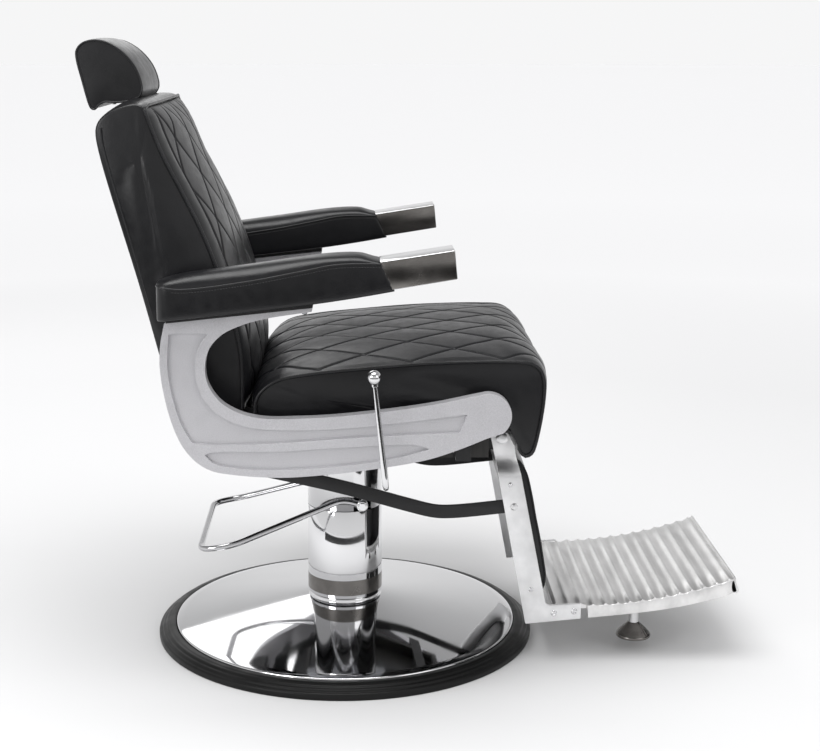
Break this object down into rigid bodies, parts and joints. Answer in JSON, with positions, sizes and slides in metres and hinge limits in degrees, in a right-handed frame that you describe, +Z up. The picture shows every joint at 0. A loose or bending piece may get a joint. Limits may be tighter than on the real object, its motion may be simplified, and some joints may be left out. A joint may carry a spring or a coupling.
{
  "type": "hydraulic barber chair",
  "caption": "Hydraulic barber chair: quilted reclining seat with headrest, armrests and linked footrest on a round pump base.",
  "frame": {"origin": "on the swivel axis, at the underside of the base plate, on the floor", "axes": "+Z up, -Y towards the front that the sitter faces, +X towards the sitter's left"},
  "size_m": [0.7665, 1.1643, 1.1014],
  "materials": {
    "chrome": "mirror polished",
    "cast_aluminium": "silver paint, slightly grainy",
    "polished_aluminium": "polished casting with dull hollows",
    "brushed_aluminium": "brushed",
    "steel": "machined",
    "black_steel": "satin black",
    "rubber": "matt moulded",
    "leather": "satin black upholstery vinyl",
    "board": "plywood, black stained"
  },
  "bodies": {
    "base": {"base_plate": "steel", "rubber_ring": "rubber", "dome_cover": "chrome", "base_socket": "steel", "inner_sleeve": "chrome", "thrust_bearing": "steel"},
    "ram": {"ram_rod": "chrome"},
    "chair": {"wiper_seal": "rubber", "pump_cylinder": "steel", "column_cover": "chrome", "column_collar": "chrome", "pump_block": "steel", "plunger_spring": "steel", "seat_mount_plate": "steel", "frame_rail_left": "black_steel", "frame_rail_right": "black_steel", "cross_tube_front": "black_steel", "cross_tube_rear": "black_steel", "seat_pan": "board", "seat_cushion": "leather", "side_casting_left": "cast_aluminium", "side_casting_right": "cast_aluminium", "arm_plate_left": "black_steel", "arm_plate_right": "black_steel", "arm_pad_left": "leather", "arm_pad_right": "leather", "arm_tip_left": "chrome", "arm_tip_right": "chrome", "hinge_rod": "steel", "leg_hanger_left": "black_steel", "leg_hanger_right": "black_steel", "leg_pivot_bolt_left": "brushed_aluminium", "leg_pivot_bolt_right": "brushed_aluminium", "lever_bracket": "black_steel"},
    "plunger": {"pump_plunger": "chrome"},
    "pedal": {"pump_pedal": "chrome", "pedal_shaft": "steel", "pedal_bolt_left": "chrome", "pedal_bolt_right": "chrome"},
    "lever": {"recline_lever": "chrome", "recline_knob": "chrome"},
    "back": {"back_cushion": "leather", "back_board": "board", "back_shell": "leather", "back_hinge_tube": "black_steel", "recline_crank_left": "black_steel", "recline_crank_right": "black_steel", "headrest_guide": "steel"},
    "headrest": {"headrest_cushion": "leather", "headrest_post": "chrome"},
    "footrest": {"footrest_leg_left": "brushed_aluminium", "footrest_leg_right": "brushed_aluminium", "footrest_tray": "polished_aluminium", "tray_foot_left": "chrome", "tray_foot_right": "chrome", "calf_pad": "leather", "link_pin_left": "brushed_aluminium", "link_pin_right": "brushed_aluminium"},
    "link_left": {"link_bar_left": "black_steel"},
    "link_right": {"link_bar_right": "black_steel"}
  },
  "joints": [
    {"name": "swivel", "type": "hinge", "parent": "base", "child": "ram", "pos_m": [0, 0, 0.12], "axis": [0, 0, 1], "continuous": true},
    {"name": "lift", "type": "slide", "parent": "ram", "child": "chair", "axis": [0, 0, 1], "range_m": [0, 0.15]},
    {"name": "pump_pedal_press", "type": "hinge", "parent": "chair", "child": "pedal", "pos_m": [0, -0.0325, 0.2636], "axis": [-1, 0, 0], "range_deg": [0, 20], "stiffness_Nm_per_rad": 6, "springref_deg": -20.05},
    {"name": "plunger_travel", "type": "slide", "parent": "chair", "child": "plunger", "axis": [0, 0, 1], "range_m": [0, 0.006], "deforming": ["plunger_spring"]},
    {"name": "recline_lever_pull", "type": "hinge", "parent": "chair", "child": "lever", "pos_m": [0, -0.0705, 0.3745], "axis": [-1, 0, 0], "range_deg": [0, 15], "stiffness_Nm_per_rad": 2, "springref_deg": -22.92},
    {"name": "recline", "type": "hinge", "parent": "chair", "child": "back", "pos_m": [0, 0.175, 0.445], "axis": [-1, 0, 0], "range_deg": [0, 40]},
    {"name": "headrest_height", "type": "slide", "parent": "back", "child": "headrest", "axis": [0, 0.26, 0.9656], "range_m": [0, 0.1]},
    {"name": "footrest_swing", "type": "hinge", "parent": "chair", "child": "footrest", "pos_m": [0, -0.278, 0.408], "axis": [-1, 0, 0], "range_deg": [0, 29]},
    {"name": "link_turn_left", "type": "hinge", "parent": "footrest", "child": "link_left", "pos_m": [0.1735, -0.3, 0.287], "axis": [-1, 0, 0], "range_deg": [-29, 0]},
    {"name": "link_turn_right", "type": "hinge", "parent": "footrest", "child": "link_right", "pos_m": [-0.1735, -0.3, 0.287], "axis": [-1, 0, 0], "range_deg": [-29, 0]}
  ],
  "couplings": [
    {"joint": "footrest_swing", "follows": "recline", "ratio": 0.7085},
    {"joint": "link_turn_left", "follows": "recline", "ratio": -0.7002},
    {"joint": "link_turn_right", "follows": "recline", "ratio": -0.7002},
    {"joint": "plunger_travel", "follows": "pump_pedal_press", "m_per_rad": 0.0155}
  ]
}
